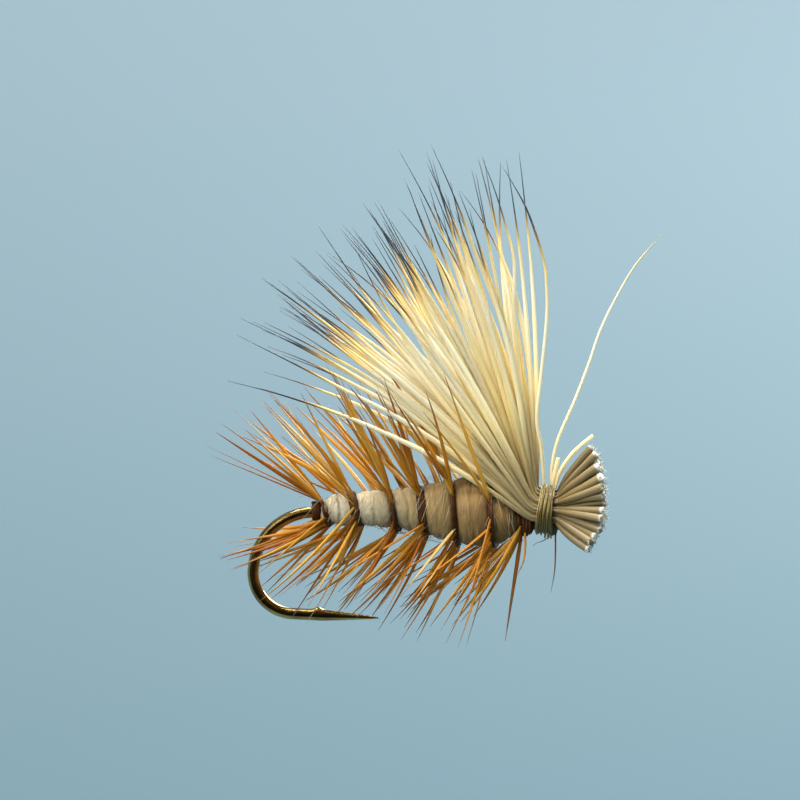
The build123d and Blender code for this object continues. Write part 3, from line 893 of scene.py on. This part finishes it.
# the cut end flares out in front of the collar and is trimmed to a rounded face
def buttKnots(y, z):
    outer = min(1.0, max(0.0, (abs(y) - 0.25) / 0.4))
    level = butt["levelMiddle"] + (butt["levelSide"] - butt["levelMiddle"]) * outer
    low = min(1.0, max(0.0, (butt["levelSide"] - z) / 0.5))
    rise = butt["slope"] * (z - level) + dice.normal(0, 0.035)
    side = butt["sideSlope"] * y + butt["push"] * outer * low * math.copysign(1, y) + dice.normal(0, 0.035)
    direction = np.array([1, side, rise])
    direction /= np.linalg.norm(direction)
    middle = 1 - math.hypot(y, z - butt["levelSide"]) / collarRadius
    straight = 0.04 + 0.40 * max(0.0, middle)
    start = np.array([collarFront - 0.05, y, z])
    near = start + (straight + 0.05, 0, 0)
    trim = 1 + butt["trimSide"] * side**2 + (butt["trimTop"] if rise > 0 else butt["trimLow"]) * rise**2
    length = (butt["length"] / trim + dice.normal(0, 0.035) - straight) / direction[0]
    bow = np.cross(direction, (0, 1, 0)) * dice.normal(0, 0.03)
    return np.array([
        start, near, near + direction * length * 0.3 + bow, near + direction * length * 0.65 + bow,
        near + direction * length])


def splinters(strands):  # fuzz on the cut ends
    made = []
    for s in strands:
        end, before = s["line"][3], s["line"][5]
        ahead = (end - before) / np.linalg.norm(end - before)
        for _ in range(butt["splinters"]):
            spread = dice.normal(size=3)
            spread -= ahead * spread.dot(ahead)
            spread /= np.linalg.norm(spread)
            root = end + spread * s["radius"][3] * dice.uniform(0.6, 0.97) - ahead * 0.03
            reach = dice.uniform(0.05, 0.20)
            tip = root + (ahead + spread * dice.uniform(-0.6, 0.9)) * reach
            line = smoothLine([root, (root + tip) / 2 + dice.normal(0, 0.012, 3), tip], 5)
            thin, cut = np.linspace(0.017, 0.005, 5), np.full(5, -1.0)
            made.append(strand(line, thin, cut, dice.uniform(0.5, 1.0)))
    return made


def groupOf(y, z):       # which bunch of the bundle a hair belongs to
    if abs(y) > hair["sideBand"]:
        return "nearSide" if y < 0 else "farSide"
    if z < hair["bottomTop"]:
        return "bottom"
    return "middle" if z < hair["middleTop"] else "top"


def hairPieces():
    finish = wingHairFinish()
    locks = makeLocks()
    groups = {"nearSide": [], "farSide": [], "bottom": [], "middle": [], "top": []}
    nodes = {"nearSide": "wing_hair_near_side", "farSide": "wing_hair_far_side",
             "bottom": "wing_hair_bottom", "middle": "wing_hair_middle", "top": "wing_hair_top"}
    for y, z in bundlePlaces():
        groups[groupOf(y, z)].append(hairStrand(y, z, locks))
    for key, strands in groups.items():
        print(key, len(strands), "hairs")
        name = "wingHair" + key[0].upper() + key[1:]
        tubes(name, strands + splinters(strands), 10, finish, nodes[key])
    return finish


def strayHair(knots, thickness, along, cut=False):
    count = 60
    t = np.linspace(0, 1, count)
    radius = thickness * between([(0, 0.7), (0.1, 1.0), (0.5, 0.95), (0.8, 0.6), (1.0, 0.12)], t)
    if cut:
        radius = thickness * between([(0, 0.7), (0.3, 1.0), (1.0, 1.0)], t)
    return strand(smoothLine(knots, count), radius, np.linspace(*along, count), 1.0)


def strayHairs(finish):
    top = collarHeight + collarRadius
    forward = strayHair([
        (-1.12, 0.15, top - 0.08), (-1.14, 0.18, 2.3), (-0.95, 0.22, 3.4), (-0.35, 0.3, 5.0),
        (0.14, 0.36, 6.5), (0.55, 0.4, 7.9), (1.15, 0.45, 9.3), (1.85, 0.5, 10.6), (2.79, 0.6, 11.8),
    ], 0.066, (0.28, 0.76))
    tubes("forwardStrayHair", [forward], 10, finish, "forward_stray_hair")
    wavy = strayHair([
        (-1.42, -0.15, top - 0.08), (-1.62, -0.7, 3.0), (-1.88, -1.1, 4.2), (-1.80, -1.3, 5.9),
        (-1.70, -1.5, 8.0), (-1.76, -1.55, 9.3), (-1.95, -1.6, 10.5), (-2.60, -1.7, 12.2),
        (-3.10, -1.75, 13.1), (-3.77, -1.8, 14.1),
    ], 0.078, (0.28, 0.93))
    tubes("wavyStrayHair", [wavy], 10, finish, "wavy_stray_hair")
    stubs = [
        strayHair([(-0.98, -0.2, 1.42), (-0.82, -0.28, 2.1), (-0.45, -0.33, 2.75), (-0.05, -0.36, 3.2),
                   (0.42, -0.4, 3.62)], 0.082, (0.19, 0.30), True),
        strayHair([(-1.1, -0.1, 1.44), (-1.06, -0.13, 1.8), (-1.0, -0.16, 2.2), (-0.92, -0.2, 2.66)],
                  0.085, (0.19, 0.30), True)]
    tubes("hairStubs", stubs, 10, finish, "hair_stubs")


strayHairs(hairPieces())
print("hair is set")

floorDrop = 40.0         # the fly is held in the air, well over the floor
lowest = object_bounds()[0][2] / mm
sweepStage(lowest - floorDrop)
reflectionFlag()
